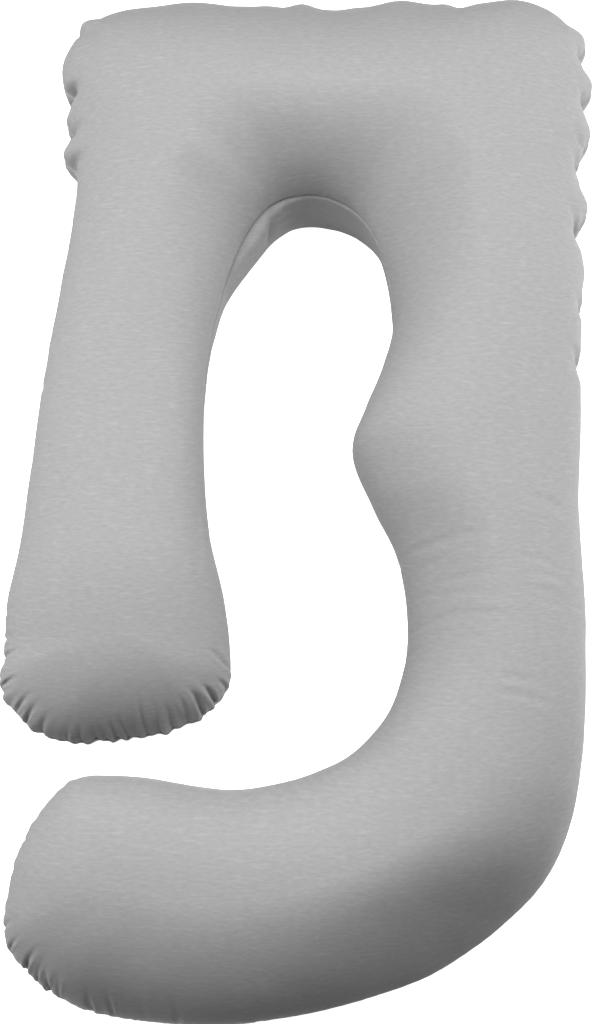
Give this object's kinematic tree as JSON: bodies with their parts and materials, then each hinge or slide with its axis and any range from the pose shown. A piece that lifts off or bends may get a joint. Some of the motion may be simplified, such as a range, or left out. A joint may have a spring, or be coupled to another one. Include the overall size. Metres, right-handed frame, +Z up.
{
  "type": "body pillow",
  "caption": "Full-length J-shaped body pillow in heather-grey jersey: a straight arm, a head bar, a contoured arm and a curved leg hook, filled and sewn round one edge seam.",
  "frame": {"origin": "on the floor, under the middle of the pillow's bounding box, with the pillow lying on its back panel", "axes": "+Z up, out of the front panel; +Y towards the head bar; +X towards the contoured arm, with the straight arm on -X"},
  "size_m": [0.8734, 1.5262, 0.266],
  "materials": {
    "jersey": "matte heather-grey knitted jersey"
  },
  "bodies": {
    "root": {"pillow": "jersey"}
  },
  "joints": []
}
